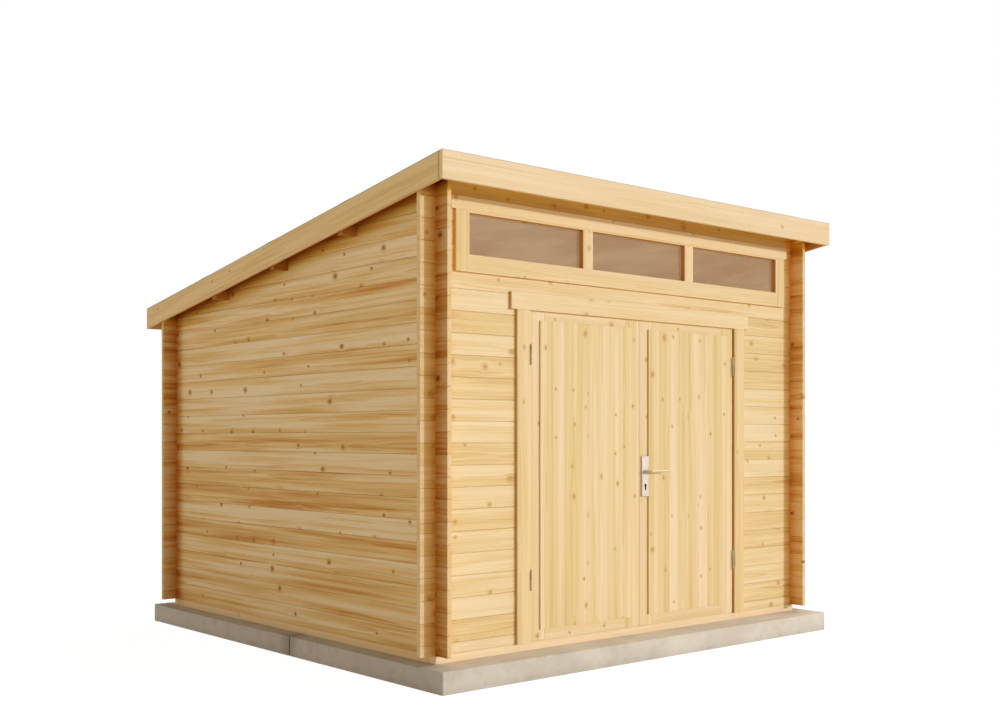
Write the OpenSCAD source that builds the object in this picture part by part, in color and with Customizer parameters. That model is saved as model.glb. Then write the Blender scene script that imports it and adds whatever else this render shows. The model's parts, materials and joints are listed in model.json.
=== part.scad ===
// Pent-roofed garden tool shed of interlocking wall boards.
// Lengths are millimetres. X runs to the right along the front, Y to the back, Z up.
// The origin lies under the middle of the roof, on the underside of the concrete base.

/* [Walls] */
// Width over the outer faces of the side walls
wall_w = 3005; // [2600:5:3800]
// Depth over the outer faces of the front and back walls
wall_d = 2956; // [2300:4:3800]
// Thickness of the wall boards
wall_t = 28; // [19:1:45]
// Height that one wall board covers
course_h = 114; // [90:1:150]
// How far the boards run past each crossing
arm = 98; // [60:1:150]

/* [Base] */
// Thickness of the concrete base
slab_t = 116; // [60:1:200]
// Reach of the concrete base in front of the wall
slab_front = 184; // [40:1:190]
// Reach of the concrete base behind the wall
slab_back = 118; // [40:1:180]
// Reach of the concrete base beside each side wall
slab_side = 97; // [20:1:110]
// Height of the bearers under the walls
bearer_h = 43; // [30:1:70]
// Width of the bearers
bearer_w = 58; // [40:1:90]

/* [Roof] */
// Height of the wall boards between the window's courses and the roof boards
over_window = 137; // [30:1:300]
// Fall of the roof from its front edge to its back edge
roof_drop = 517; // [200:1:560]
// Reach of the roof in front of the wall
roof_front = 207; // [200:1:320]
// Reach of the roof behind the wall
roof_back = 197; // [190:1:320]
// Thickness of the roof boards
deck_t = 18; // [15:1:28]
// Thickness of the roofing felt
felt_t = 3; // [2:0.5:6]
// Thickness of the front and back edge boards
eave_board_t = 26; // [16:1:30]
// Thickness of the side edge boards
verge_board_t = 18; // [14:1:28]
// Height of the four edge boards
edge_board_h = 138; // [100:1:160]
// Width of a purlin
purlin_w = 45; // [35:1:70]
// Height of a purlin
purlin_h = 140; // [100:1:180]
// Number of purlins
purlin_count = 3; // [2:1:4]

/* [Door] */
// Width between the posts of the double door
door_w = 1736; // [1500:4:1900]
// Height of the posts above the bearer
door_h = 1800; // [1500:1:2200]
// Width of the casing boards around the door
casing_w = 94; // [70:1:110]
// Thickness of the casing boards
casing_t = 18; // [14:1:24]
// Reach of the head casing past the side casings
casing_ear = 42; // [0:1:80]
// Depth of the door frame behind the wall's outer face
frame_depth = 48; // [45:1:70]
// Clearance around each door leaf
leaf_gap = 5; // [5:0.5:8]
// Thickness of the leaf's stiles and rails
leaf_t = 30; // [24:1:34]
// How far the leaf's frame stands in front of the wall's outer face
leaf_proud = 4; // [0:1:6]
// Width of the stiles and rails
stile_w = 110; // [90:1:140]
// Thickness of the door boards
door_board_t = 10; // [8:1:12]
// Distance from the leaf's sides to the door boards
board_margin = 72; // [60:1:90]
// Distance from the leaf's top to the door boards
board_margin_top = 45; // [30:1:80]
// Distance from the leaf's foot to the door boards
board_margin_foot = 60; // [30:1:80]

/* [Hinges] */
// Diameter of the hinge barrels
barrel_d = 16; // [14:1:18]
// Length of a hinge
barrel_l = 115; // [80:1:140]
// Height of the lower hinges' middle above the bearer
hinge_low = 339; // [200:1:500]
// Distance from the door's head down to the upper hinges' middle
hinge_from_head = 239; // [120:1:500]
// Diameter of the hinge pins
hinge_pin_d = 8; // [6:1:9]

/* [Lock] */
// Height of the lock plate
plate_h = 238; // [180:1:260]
// Thickness of the lock plate
plate_t = 11; // [10.5:0.5:14]
// Distance of the lever from the leaf's free edge
lever_inset = 43; // [40:1:44]
// Height of the lever above the bearer
lever_z = 913; // [700:1:1100]
// Drop from the lever to the middle of the lock plate
plate_drop = 30; // [20:1:60]
// Length of the lever
lever_reach = 172; // [110:1:180]
// Distance from the lock plate to the far side of the lever
lever_stand = 55; // [40:1:60]
// Height of the lever's grip
grip_h = 15; // [12:1:18]
// Thickness of the lever's grip
grip_t = 11; // [8:1:14]

/* [Window] */
// Distance from the outer face of a side wall to the window
window_inset = 120; // [60:1:300]
// Width of the side posts
side_post_w = 90; // [70:1:100]
// Width of the strip between each side post's outer board and the pane
post_strip_w = 18; // [10:1:30]
// Width of the bars between the panes
mullion_w = 76; // [50:1:90]
// Distance from the middle of the shed to the middle of each bar
mullion_off = 431; // [300:1:480]
// Height of the sill board
sill_board_h = 92; // [70:1:100]
// Reach of the sill board below the window's courses
sill_lap = 26; // [10:1:60]
// Height of the head board
head_board_h = 70; // [60:1:85]
// Height of the strip between the head board and the panes
head_strip_h = 12; // [8:1:30]
// Clear height of the panes
pane_h = 216; // [200:1:240]
// Reach of the head board past the side posts
head_ear = 28; // [0:1:32]
// Width of the window lining behind the side posts
lining_w = 25; // [20:1:40]
// Thickness of the glass
glass_t = 4; // [3:1:6]
// Depth of the glass behind the wall's outer face
glass_in = 14; // [5:1:14]

/* [Hidden] */

// Colours
spruce = [0.92, 0.80, 0.60];
spruce_light = [0.95, 0.84, 0.66];
spruce_shade = [0.84, 0.70, 0.50];
concrete = [0.78, 0.75, 0.70];
felt = [0.33, 0.34, 0.35];
pane = [0.62, 0.55, 0.48, 0.5];
steel = [0.80, 0.80, 0.80];

// Plan and levels, with Y from the front wall's outer face and Z from the top of the base
half_w = wall_w / 2;
front_y = -(wall_d + roof_back - roof_front) / 2;
roof_half = half_w + arm + verge_board_t;
eave_y = [-roof_front, wall_d + roof_back];
roof_slope = roof_drop / (eave_y[1] - eave_y[0]);
seat_gap = 0.2;

// Door frame and leaves
door_half = door_w / 2;
jamb_w = 37;
door_hole_half = door_half + jamb_w;
door_foot = bearer_h;
door_head_z = door_foot + door_h;
first_course = bearer_h + course_h / 2;
door_top_line = courses_over(first_course, door_head_z);
casing_y = -casing_t;
leaf_in = leaf_gap / 2;
leaf_out = door_half - leaf_gap;
leaf_y = [-leaf_proud, leaf_t - leaf_proud];
leaf_z = [door_foot + leaf_gap, door_head_z - leaf_gap];
board_x = [leaf_in + board_margin, leaf_out - board_margin];
board_y = [leaf_y[0] - door_board_t, leaf_y[0]];
board_z = [leaf_z[0] + board_margin_foot, leaf_z[1] - board_margin_top];
stop_w = 20;
stop_y = [leaf_y[1] + leaf_gap, frame_depth];
stop_joint = 1;

// Hinges: the pin and the lower knuckle stay with the frame
hinge_x = door_half - leaf_gap / 2;
barrel_r = barrel_d / 2;
hinge_y = casing_y - barrel_r - 1;
hinge_mids = [door_foot + hinge_low, door_head_z - hinge_from_head];
knuckle_gap = 0.3;
pin_clear = 0.05;
flap_t = 2;
flap_back = 15;
flap_sink = 3;
pin_cover = 4;

// Lock
lever_x = leaf_in + lever_inset;
plate_w = 2 * (board_x[0] - lever_x);
lever_level = door_foot + lever_z;
plate_level = lever_level - plate_drop;
neck_r = 9;
spindle_r = 4.5;
spindle_bore_r = 10;
spindle_reach = 200;
lock_turn_clear = 0.06;
plate_in_t = 9;

// Window
window_half = half_w - window_inset;
pane_half = window_half - side_post_w;
window_hole_half = pane_half + lining_w;
post_board_in = pane_half + post_strip_w;
window_low_line = door_top_line + course_h;
pane_low = window_low_line - sill_lap + sill_board_h;
pane_high = pane_low + pane_h;
head_low = pane_high + head_strip_h;
window_high_line = courses_over(window_low_line, pane_high);

// The joint between two boards that lies next above a level, counted from a lower joint
function courses_over(from, level) = from + ceil((level - from) / course_h) * course_h;

// Heights of the roof's layers at a distance from the front wall
function deck_under(y) = window_high_line + over_window - roof_slope * y;
function deck_top(y) = deck_under(y) + deck_t;
function felt_under(y) = deck_top(y) + seat_gap;
function felt_top(y) = felt_under(y) + felt_t;
function wall_top(y) = deck_under(y) - seat_gap;
function purlin_mid(i) = (wall_d - wall_t) * (i + 1) / (purlin_count + 1);

// A box between two opposite corners
module block(low, high) {
    translate(low) cube(high - low);
}

// An outline in Y and Z carried along X from one place to another
module along_x(x, outline) {
    translate([x[0], 0, 0]) rotate([90, 0, 90]) linear_extrude(x[1] - x[0]) polygon(outline);
}

// Moves a piece from the wall's own levels to the shared origin
module placed() {
    translate([0, front_y, slab_t]) children();
}

// Outlines in Y and Z: a rectangle, a board whose top follows the roof, and a layer that follows it twice
function rectangle(y, z) = [[y[0], z[0]], [y[1], z[0]], [y[1], z[1]], [y[0], z[1]]];
function under_roof(y, low) = [[y[0], low], [y[1], low], [y[1], wall_top(y[1])], [y[0], wall_top(y[0])]];
function roof_layer(y, top, depth) = [
    [y[0], top[0] - depth], [y[1], top[1] - depth], [y[1], top[1]], [y[0], top[0]]
];

// Both ends of a wall board, past the side walls
module board_ends(outline) {
    along_x([-half_w - arm, -half_w], outline);
    along_x([half_w, half_w + arm], outline);
}

// Base

module concrete_base() {
    color(concrete)
        block([-half_w - slab_side, -slab_front, -slab_t], [half_w + slab_side, wall_d + slab_back, 0]);
}

module bearer_across(y) {
    color(spruce_light) block([-half_w, y, 0], [half_w, y + bearer_w, bearer_h]);
}

module bearer_along(x) {
    color(spruce_light) block([x, bearer_w, 0], [x + bearer_w, wall_d - bearer_w, bearer_h]);
}

// Walls

module purlin_bodies() {
    for (i = [0 : purlin_count - 1]) {
        y = purlin_mid(i);
        low = wall_top(y) - purlin_h;
        along_x([-half_w - arm, half_w + arm], under_roof([y - purlin_w / 2, y + purlin_w / 2], low));
    }
}

module side_wall(x) {
    color(spruce_shade) difference() {
        along_x([x, x + wall_t], under_roof([-arm, wall_d + arm], bearer_h));
        purlin_bodies();
    }
}

module back_wall() {
    y = [wall_d - wall_t, wall_d];
    color(spruce) {
        along_x([-half_w + wall_t, half_w - wall_t], under_roof(y, bearer_h));
        board_ends(under_roof(y, bearer_h));
    }
}

// The front wall beside the door, with its board ends past the side wall
module front_wall_beside_door() {
    y = [0, wall_t];
    z = [bearer_h, door_top_line];
    color(spruce) {
        block([door_hole_half, y[0], z[0]], [half_w - wall_t, y[1], z[1]]);
        block([half_w, y[0], z[0]], [half_w + arm, y[1], z[1]]);
    }
}

module front_wall_over_door() {
    outline = rectangle([0, wall_t], [door_top_line, window_low_line]);
    color(spruce) {
        along_x([-half_w + wall_t, half_w - wall_t], outline);
        board_ends(outline);
    }
}

module front_wall_window_ends() {
    outline = rectangle([0, wall_t], [window_low_line, window_high_line]);
    color(spruce) {
        along_x([-half_w + wall_t, -window_hole_half], outline);
        along_x([window_hole_half, half_w - wall_t], outline);
        board_ends(outline);
    }
}

module front_wall_top() {
    outline = under_roof([0, wall_t], window_high_line);
    color(spruce) {
        along_x([-half_w + wall_t, half_w - wall_t], outline);
        board_ends(outline);
    }
}

// Window

module window_head_board() {
    color(spruce_light) union() {
        block([-window_half - head_ear, casing_y, head_low],
              [window_half + head_ear, 0, head_low + head_board_h]);
        block([-post_board_in, casing_y, pane_high], [post_board_in, 0, head_low]);
        block([-window_hole_half, 0, pane_high], [window_hole_half, wall_t, window_high_line]);
    }
}

module window_sill_board() {
    color(spruce_light) union() {
        block([-post_board_in, casing_y, pane_low - sill_board_h], [post_board_in, 0, pane_low]);
        block([-window_hole_half, 0, window_low_line], [window_hole_half, wall_t, pane_low]);
    }
}

module window_side_post() {
    color(spruce_light) union() {
        block([post_board_in, casing_y, pane_low - sill_board_h], [window_half, 0, head_low]);
        block([pane_half, casing_y, pane_low], [post_board_in, 0, pane_high]);
        block([pane_half, 0, pane_low], [window_hole_half, wall_t, pane_high]);
    }
}

module window_side_posts() {
    window_side_post();
    mirror([1, 0, 0]) window_side_post();
}

module window_mullions() {
    color(spruce_light) for (side = [-1, 1]) {
        x = side * mullion_off - mullion_w / 2;
        block([x, casing_y, pane_low], [x + mullion_w, wall_t, pane_high]);
    }
}

module window_glass() {
    middle = mullion_off - mullion_w / 2;
    outer = mullion_off + mullion_w / 2;
    color(pane) for (x = [[-pane_half, -outer], [-middle, middle], [outer, pane_half]])
        block([x[0], glass_in, pane_low], [x[1], glass_in + glass_t, pane_high]);
}

// Door frame

module door_post() {
    color(spruce_light) union() {
        block([door_half, casing_y, door_foot], [door_half + casing_w, 0, door_head_z]);
        block([door_half, 0, door_foot], [door_hole_half, frame_depth, door_head_z]);
    }
}

module door_posts() {
    door_post();
    mirror([1, 0, 0]) door_post();
}

module door_head() {
    reach = door_half + casing_w + casing_ear;
    color(spruce_light) union() {
        block([-reach, casing_y, door_head_z], [reach, 0, door_head_z + casing_w]);
        block([-door_hole_half, 0, door_head_z], [door_hole_half, frame_depth, door_top_line]);
    }
}

module door_stops() {
    color(spruce_light) {
        for (x = [-door_half, door_half - stop_w])
            block([x, stop_y[0], door_foot], [x + stop_w, stop_y[1], door_head_z - stop_w - stop_joint]);
        block([-door_half, stop_y[0], door_head_z - stop_w], [door_half, stop_y[1], door_head_z]);
    }
}

// A round bar on the lever's axis, between two distances along Y
module neck(y, radius) {
    translate([lever_x, y[1], lever_level]) rotate([90, 0, 0])
        cylinder(r = radius, h = y[1] - y[0], $fn = 48);
}

// Door leaves, drawn on the right of the middle

module spindle_hole(radius) {
    neck([-spindle_reach, spindle_reach], radius);
}

module leaf_stiles(with_lock) {
    color(spruce) difference() {
        union() {
            block([leaf_in, leaf_y[0], leaf_z[0]], [leaf_in + stile_w, leaf_y[1], leaf_z[1]]);
            block([leaf_out - stile_w, leaf_y[0], leaf_z[0]], [leaf_out, leaf_y[1], leaf_z[1]]);
        }
        if (with_lock) spindle_hole(spindle_bore_r);
    }
}

module leaf_rails() {
    x = [leaf_in + stile_w, leaf_out - stile_w];
    color(spruce) {
        block([x[0], leaf_y[0], leaf_z[0]], [x[1], leaf_y[1], leaf_z[0] + stile_w]);
        block([x[0], leaf_y[0], leaf_z[1] - stile_w], [x[1], leaf_y[1], leaf_z[1]]);
    }
}

module leaf_boards() {
    color(spruce_light)
        block([board_x[0], board_y[0], board_z[0]], [board_x[1], board_y[1], board_z[1]]);
}

// One knuckle with the flap that is let into the joint between leaf and frame
module knuckle(flap_x, low, high) {
    translate([hinge_x, hinge_y, low]) cylinder(d = barrel_d, h = high - low, $fn = 48);
    block([flap_x, hinge_y + barrel_r - flap_sink, low], [flap_x + flap_t, flap_back, high]);
}

module leaf_hinges() {
    color(steel) for (mid = hinge_mids) {
        low = mid + knuckle_gap;
        high = mid + barrel_l / 2;
        difference() {
            knuckle(leaf_out, low, high);
            translate([hinge_x, hinge_y, low - 1])
                cylinder(d = hinge_pin_d + 2 * pin_clear, h = high - low - pin_cover + 1, $fn = 48);
        }
    }
}

module frame_hinges() {
    color(steel) for (mid = hinge_mids) {
        low = mid - barrel_l / 2;
        knuckle(door_half - flap_t, low, mid);
        translate([hinge_x, hinge_y, low]) cylinder(d = hinge_pin_d, h = barrel_l - 2 * pin_cover, $fn = 48);
    }
}

module hinge_pins() {
    frame_hinges();
    mirror([1, 0, 0]) frame_hinges();
}

// Lock plates on both faces of the right leaf, and the lever that turns through them

module plate_face(y) {
    block([lever_x - plate_w / 2, y[0], plate_level - plate_h / 2],
          [lever_x + plate_w / 2, y[1], plate_level + plate_h / 2]);
}

module lock_plates() {
    color(steel) difference() {
        union() {
            plate_face([leaf_y[0] - plate_t, leaf_y[0]]);
            plate_face([leaf_y[1], leaf_y[1] + plate_in_t]);
        }
        spindle_hole(neck_r + lock_turn_clear);
    }
}

// A grip that reaches from the neck towards the hinges, between two distances along Y
module grip(y) {
    block([lever_x, y[0], lever_level - grip_h / 2],
          [lever_x + lever_reach - grip_h / 2, y[1], lever_level + grip_h / 2]);
    translate([lever_x + lever_reach - grip_h / 2, y[1], lever_level])
        rotate([90, 0, 0]) cylinder(d = grip_h, h = y[1] - y[0], $fn = 48);
}

module lever() {
    outside = leaf_y[0] - plate_t - lever_stand;
    inside = leaf_y[1] + plate_in_t + lever_stand;
    color(steel) union() {
        neck([outside, leaf_y[0]], neck_r);
        neck([outside, inside], spindle_r);
        neck([leaf_y[1], inside], neck_r);
        grip([outside, outside + grip_t]);
        grip([inside - grip_t, inside]);
    }
}

// Roof

module purlins() {
    color(spruce_shade) purlin_bodies();
}

module roof_deck() {
    y = [eave_y[0] + eave_board_t, eave_y[1] - eave_board_t];
    top = [deck_top(y[0]), deck_top(y[1])];
    color(spruce) along_x([-half_w - arm, half_w + arm], roof_layer(y, top, deck_t));
}

module roof_felt() {
    top = [felt_top(eave_y[0]), felt_top(eave_y[1])];
    color(felt) along_x([-roof_half, roof_half], roof_layer(eave_y, top, felt_t));
}

module eave_board(y) {
    top = [deck_top(y[0]), deck_top(y[1])];
    low = min(top) - edge_board_h;
    color(spruce_light)
        along_x([-roof_half, roof_half], [[y[0], low], [y[1], low], [y[1], top[1]], [y[0], top[0]]]);
}

module verge_board(x) {
    y = [eave_y[0] + eave_board_t, eave_y[1] - eave_board_t];
    top = [deck_top(y[0]), deck_top(y[1])];
    color(spruce_shade) along_x([x, x + verge_board_t], roof_layer(y, top, edge_board_h));
}

placed() concrete_base();
placed() bearer_across(0);  // bearer_front
placed() bearer_across(wall_d - bearer_w);  // bearer_back
placed() bearer_along(-half_w);  // bearer_left
placed() bearer_along(half_w - bearer_w);  // bearer_right
placed() side_wall(-half_w);  // left_wall
placed() side_wall(half_w - wall_t);  // right_wall
placed() back_wall();
placed() mirror([1, 0, 0]) front_wall_beside_door();  // front_wall_left
placed() front_wall_beside_door();  // front_wall_right
placed() front_wall_over_door();
placed() front_wall_window_ends();
placed() front_wall_top();
placed() window_head_board();
placed() window_sill_board();
placed() window_side_posts();
placed() window_mullions();
placed() window_glass();
placed() door_posts();
placed() door_head();
placed() door_stops();
placed() mirror([1, 0, 0]) leaf_stiles(false);  // left_door_stiles
placed() mirror([1, 0, 0]) leaf_rails();  // left_door_rails
placed() mirror([1, 0, 0]) leaf_boards();  // left_door_boards
placed() mirror([1, 0, 0]) leaf_hinges();  // left_door_hinges
placed() leaf_stiles(true);  // right_door_stiles
placed() leaf_rails();  // right_door_rails
placed() leaf_boards();  // right_door_boards
placed() leaf_hinges();  // right_door_hinges
placed() hinge_pins();
placed() lock_plates();
placed() lever();
placed() purlins();
placed() roof_deck();
placed() roof_felt();
placed() eave_board([eave_y[0], eave_y[0] + eave_board_t]);  // eave_board_front
placed() eave_board([eave_y[1] - eave_board_t, eave_y[1]]);  // eave_board_back
placed() verge_board(-roof_half);  // verge_board_left
placed() verge_board(roof_half - verge_board_t);  // verge_board_right
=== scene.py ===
"""The looks of a pent-roofed garden tool shed of interlocking spruce boards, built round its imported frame."""

import json
import math

import bpy
import numpy as np
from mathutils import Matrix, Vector


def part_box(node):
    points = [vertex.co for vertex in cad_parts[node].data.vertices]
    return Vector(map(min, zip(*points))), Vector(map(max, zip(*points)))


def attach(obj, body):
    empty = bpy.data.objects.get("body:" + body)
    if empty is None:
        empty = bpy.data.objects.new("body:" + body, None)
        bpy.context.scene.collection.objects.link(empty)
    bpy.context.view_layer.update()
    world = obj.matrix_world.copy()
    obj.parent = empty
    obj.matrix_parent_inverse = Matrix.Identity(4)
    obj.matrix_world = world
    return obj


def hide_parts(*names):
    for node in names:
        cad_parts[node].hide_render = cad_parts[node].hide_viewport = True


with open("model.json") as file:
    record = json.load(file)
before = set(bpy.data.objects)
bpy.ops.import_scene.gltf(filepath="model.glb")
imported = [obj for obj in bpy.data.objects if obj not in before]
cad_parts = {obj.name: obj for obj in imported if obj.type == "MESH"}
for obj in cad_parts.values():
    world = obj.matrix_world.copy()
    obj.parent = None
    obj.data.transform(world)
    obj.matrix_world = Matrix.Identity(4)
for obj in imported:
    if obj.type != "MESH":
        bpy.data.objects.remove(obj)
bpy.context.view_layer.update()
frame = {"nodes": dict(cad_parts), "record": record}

# Places, worked out from the frame. Lengths are metres.
LOW = {node: np.array(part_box(node)[0]) for node in frame["nodes"]}
HIGH = {node: np.array(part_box(node)[1]) for node in frame["nodes"]}
BODY = {node: body for body, nodes in frame["record"]["behaviour"]["bodies"].items() for node in nodes}
X, Y, Z = np.eye(3)


def corners(node):
    """A node's low and its high corner."""
    return LOW[node], HIGH[node]


COURSE = HIGH["front_wall_over_door"][2] - LOW["front_wall_over_door"][2]
WALL_T = HIGH["front_wall_left"][1] - LOW["front_wall_left"][1]
FRONT, BACK = LOW["front_wall_left"][1], HIGH["back_wall"][1]
BEARER_TOP = HIGH["bearer_front"][2]
BASE_TOP = HIGH["concrete_base"][2]
BASE_HALF = HIGH["concrete_base"][0]
HALF_W = HIGH["bearer_front"][0]
HALF_COURSE_LINE = BEARER_TOP + COURSE / 2
FELT_T = 0.003
SEAT = 0.0002
ROOF_LOW, ROOF_HIGH = corners("roof_felt")
SLOPE = (ROOF_HIGH[2] - ROOF_LOW[2] - FELT_T) / (ROOF_HIGH[1] - ROOF_LOW[1])
DOWN_ROOF = Y - SLOPE * Z
STILE_W = LOW["right_door_rails"][0] - LOW["right_door_stiles"][0]
PANE_HALF = HIGH["window_glass"][0]
POST_STRIP_W = 0.018
MULLION_W = 0.076
JAMB_W = 0.037
CASING_FACE = LOW["window_head_board"][1]

# How the timber is worked
TONGUE = 0.007
JOINT_V = 0.0026
JOINT_SLIT = 0.0005
EASE = 0.0016
WEDGE_END = 0.006
CREASE = 32

# How wood grows: metres, and how far each draw spreads them
KNOT_CELL = (0.25, 0.105)
KNOT_R, KNOT_R_SPREAD = 0.0062, 0.009
PITH_ACROSS, PITH_ACROSS_SPREAD = 0.057, 0.12
PITH_DEEP, PITH_DEEP_SPREAD = 0.035, 0.05
RING_GAP, RING_GAP_SPREAD = 0.0034, 0.0022

# Painted shade on the wood, in corners, under the roof and verge boards, beside casings and in reveals: where
# it reaches, and what it multiplies the wood by. BOARD_END darkens the verge boards' faces at their front ends.
MIDDLE_Y = (FRONT + BACK) / 2
LONG_MIDDLE = BACK - WALL_T / 2 - MIDDLE_Y
SIDE_MIDDLE = HALF_W - WALL_T / 2
CORNER_REACH = 0.13
VERGE_FULL = 0.072
CORNER_SHADE = (1.0, 0.60, 0.13, 1.0)
EAVE_SHADE = (1.0, 0.84, 0.25, 1.0)
VERGE_SHADE = (0.50, 0.22, 0.05, 1.0)
BOARD_END = (0.62, 0.50, 0.36, 1.0)
CORNER_ARM_SHADE = (0.76, 0.68, 0.56, 1.0)
WINDOW_CASING_EDGE_SHADE = (1.0, 0.85, 0.30, 1.0)
DOOR_CASING_EDGE_SHADE = (0.78, 0.55, 0.17, 1.0)
REVEAL_SHADE = (0.80, 0.42, 0.16, 1.0)
VERGE_INNER_SHADE = (1.0, 0.60, 0.26, 1.0)


def under_deck(y):
    """Height of the roof boards' underside, which falls evenly towards the back."""
    return LOW["roof_deck"][2] + SLOPE * (HIGH["roof_deck"][1] - y)


def wall_top(y):
    """Height at which the wall boards are cut, a hair under the roof boards."""
    return under_deck(y) - SEAT


def deck_top(y):
    """Height of the roof boards' upper face."""
    return ROOF_LOW[2] - SEAT + SLOPE * (ROOF_HIGH[1] - y)


# Shapes


def rounded(width, height, radius):
    """A rectangle from (0, 0) to (width, height) whose corners are arcs: each arc's points are its centre
    plus the radius times (cos, sin) over a quarter turn."""
    far_x, far_y = width - radius, height - radius
    centres = np.array([(radius, radius), (far_x, radius), (far_x, far_y), (radius, far_y)])
    angles = np.array([2, 3, 0, 1])[:, None] * math.pi / 2 + np.linspace(0, math.pi / 2, 3)
    arcs = centres[:, None] + radius * np.stack([np.cos(angles), np.sin(angles)], -1)
    return arcs.reshape(-1, 2)


def wall_board(height):
    """A wall board's outline, across and into the board: two tongues on its upper edge, two grooves below,
    and a small V along each joint."""
    top, face, back = height - JOINT_SLIT, JOINT_V, WALL_T - JOINT_V
    tongues = np.array([0.22, 0.25, 0.37, 0.40, 0.60, 0.63, 0.75, 0.78]) * WALL_T
    rise = np.array([0, 1, 1, 0, 0, 1, 1, 0]) * TONGUE
    upper = np.stack([top + rise, tongues], -1)
    lower = np.stack([JOINT_SLIT + rise, tongues], -1)[::-1]
    return np.concatenate([
        [(JOINT_V, 0), (height - JOINT_V, 0), (top, face)], upper,
        [(top, back), (height - JOINT_V, WALL_T), (JOINT_V, WALL_T), (JOINT_SLIT, back)], lower,
        [(JOINT_SLIT, face)],
    ])


def match_board(width, thick, v):
    """A narrow tongued board's outline with a V along both edges of its face: the face is at depth 0."""
    near = 0.0001
    far = width - near
    return np.array([(near + v, 0), (far - v, 0), (far, v), (far, thick), (near, thick), (near, v)])


def carried(outline, start, across, depth, along, levels):
    """Rings of an outline carried along a line: ring k lies at the distance levels[k][0], drawn in towards
    its middle by levels[k][1] on every side."""
    outline = np.asarray(outline, float)
    low, high = outline.min(0), outline.max(0)
    distance, inset = np.array(levels, float).T
    middle, half = (low + high) / 2, (high - low) / 2
    sections = middle + (outline - middle) * (1 - inset[:, None, None] / half)
    rings = start + distance[:, None, None] * along + sections[..., :1] * across + sections[..., 1:] * depth
    return rings, sections, distance


def eased(length, ease, between=()):
    """Levels for a run whose two ends are drawn in over a short ease, with further levels between."""
    return [(0, ease), *((place, 0) for place in (ease, *between, length - ease)), (length, ease)]


def turned(start, axis, profile, around=24):
    """Rings of a round piece: at each (distance, radius) of the profile, a circle about the axis."""
    side = np.cross(axis, Z if abs(axis[2]) < 0.5 else X)
    side = side / np.linalg.norm(side)
    angle = np.linspace(0, 2 * math.pi, around, endpoint=False)[:, None]
    circle = np.cos(angle) * side + np.sin(angle) * np.cross(axis, side)
    distance, radius = np.array(profile, float).T
    return start + distance[:, None, None] * axis + radius[:, None, None] * circle


def placed(name, data):
    """A new object in the scene for a mesh, a lamp or a camera."""
    made = bpy.data.objects.new(name, data)
    bpy.context.scene.collection.objects.link(made)
    return made


class Work:
    """Closed shapes gathered into the mesh of one piece."""

    def __init__(self):
        self.points, self.faces, self.total = [], [], 0

    def add(self, rings):
        """Adds the closed shape through successive rings of points: quads join each ring to the next, a cap
        closes each end, and all are turned round if the volume inside counts as negative. Gives back how
        many quads there are."""
        count, around = rings.shape[:2]
        i, j = np.meshgrid(np.arange(count - 1), np.arange(around), indexing="ij")
        here, beside = i * around + j, i * around + (j + 1) % around
        quads = np.stack([here, beside, beside + around, here + around], -1).reshape(-1, 4)
        caps = [np.arange(around)[::-1], np.arange(around) + (count - 1) * around]
        points = rings.reshape(-1, 3)
        fans = [np.stack([np.full(around - 2, cap[0]), cap[1:-1], cap[2:]], -1) for cap in caps]
        triangles = np.concatenate([quads[:, :3], quads[:, [0, 2, 3]], *fans])
        a, b, c = (points - points[0])[triangles].transpose(1, 0, 2)
        turn = -1 if (a * np.cross(b, c)).sum() < 0 else 1
        self.faces += (quads[:, ::turn] + self.total).tolist()
        self.faces += [(cap[::turn] + self.total).tolist() for cap in caps]
        self.points.append(points)
        self.total += len(points)
        return len(quads)

    def carry(self, *run):
        """Adds an outline carried along a line."""
        self.add(carried(*run)[0])

    def turn(self, *run):
        """Adds a round piece."""
        self.add(turned(*run))

    def piece(self, name):
        """The finished object, with its round faces smooth and its edges crisp."""
        mesh = bpy.data.meshes.new(name)
        mesh.from_pydata(np.concatenate(self.points), [], self.faces)
        mesh.shade_smooth()
        mesh.set_sharp_from_angle(angle=math.radians(CREASE))
        return placed(name, mesh)


class Timber(Work):
    """Boards gathered into one mesh. Points carry the attribute grain: metres along, across and into their
    board. Faces carry the attribute lot: two values drawn for the board, and 1 on its sawn ends."""

    def __init__(self, seed):
        super().__init__()
        self.draw = np.random.default_rng(seed)
        self.grain, self.lots = [], []

    def board(self, outline, start, across, depth, along, length, ease=EASE, stops=(), cut=None):
        """A board of one outline from start along its length, with eased ends. Its points are lowered to
        cut(y) where they stand over it, with extra rings at the stops."""
        inner = sorted(stop for stop in stops if 2 * ease < stop < length - 2 * ease)
        levels = eased(length, ease, inner)
        rings, sections, distance = carried(outline, start, across, depth, along, levels)
        if cut:
            rings[..., 2] = np.minimum(rings[..., 2], cut(rings[..., 1]))
        sides = self.add(rings)
        lengthwise = np.broadcast_to(distance[:, None, None], sections[..., :1].shape)
        self.grain.append(np.concatenate([lengthwise, sections], -1).reshape(-1, 3))
        lot = np.tile([*self.draw.random(2), 0], (sides + 2, 1))
        lot[-2:, 2] = 1
        self.lots.append(lot)

    def plank(self, low, high, along, ease=EASE):
        """A planed board that fills the box between two corners, with its length on the axis along (0, 1
        or 2) and its broad face on the wider of the two others."""
        low, high = np.asarray(low, float), np.asarray(high, float)
        size = high - low
        others = sorted({0, 1, 2} - {along}, key=lambda axis: -size[axis])
        outline = rounded(size[others[0]], size[others[1]], ease)
        axes = (X, Y, Z)
        self.board(outline, low, axes[others[0]], axes[others[1]], axes[along], size[along], ease)

    def pair(self, low, high, along):
        """A plank on the right and its mirror image on the left."""
        self.plank(low, high, along)
        self.plank((-high[0], low[1], low[2]), (-low[0], high[1], high[2]), along)

    def piece(self, name):
        """The finished object, with both attributes."""
        made = super().piece(name)
        for attribute, domain, values in (("grain", "POINT", self.grain), ("lot", "FACE", self.lots)):
            layer = made.data.attributes.new(attribute, "FLOAT_VECTOR", domain)
            layer.data.foreach_set("vector", np.concatenate(values).astype(np.float32).ravel())
        return made


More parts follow.
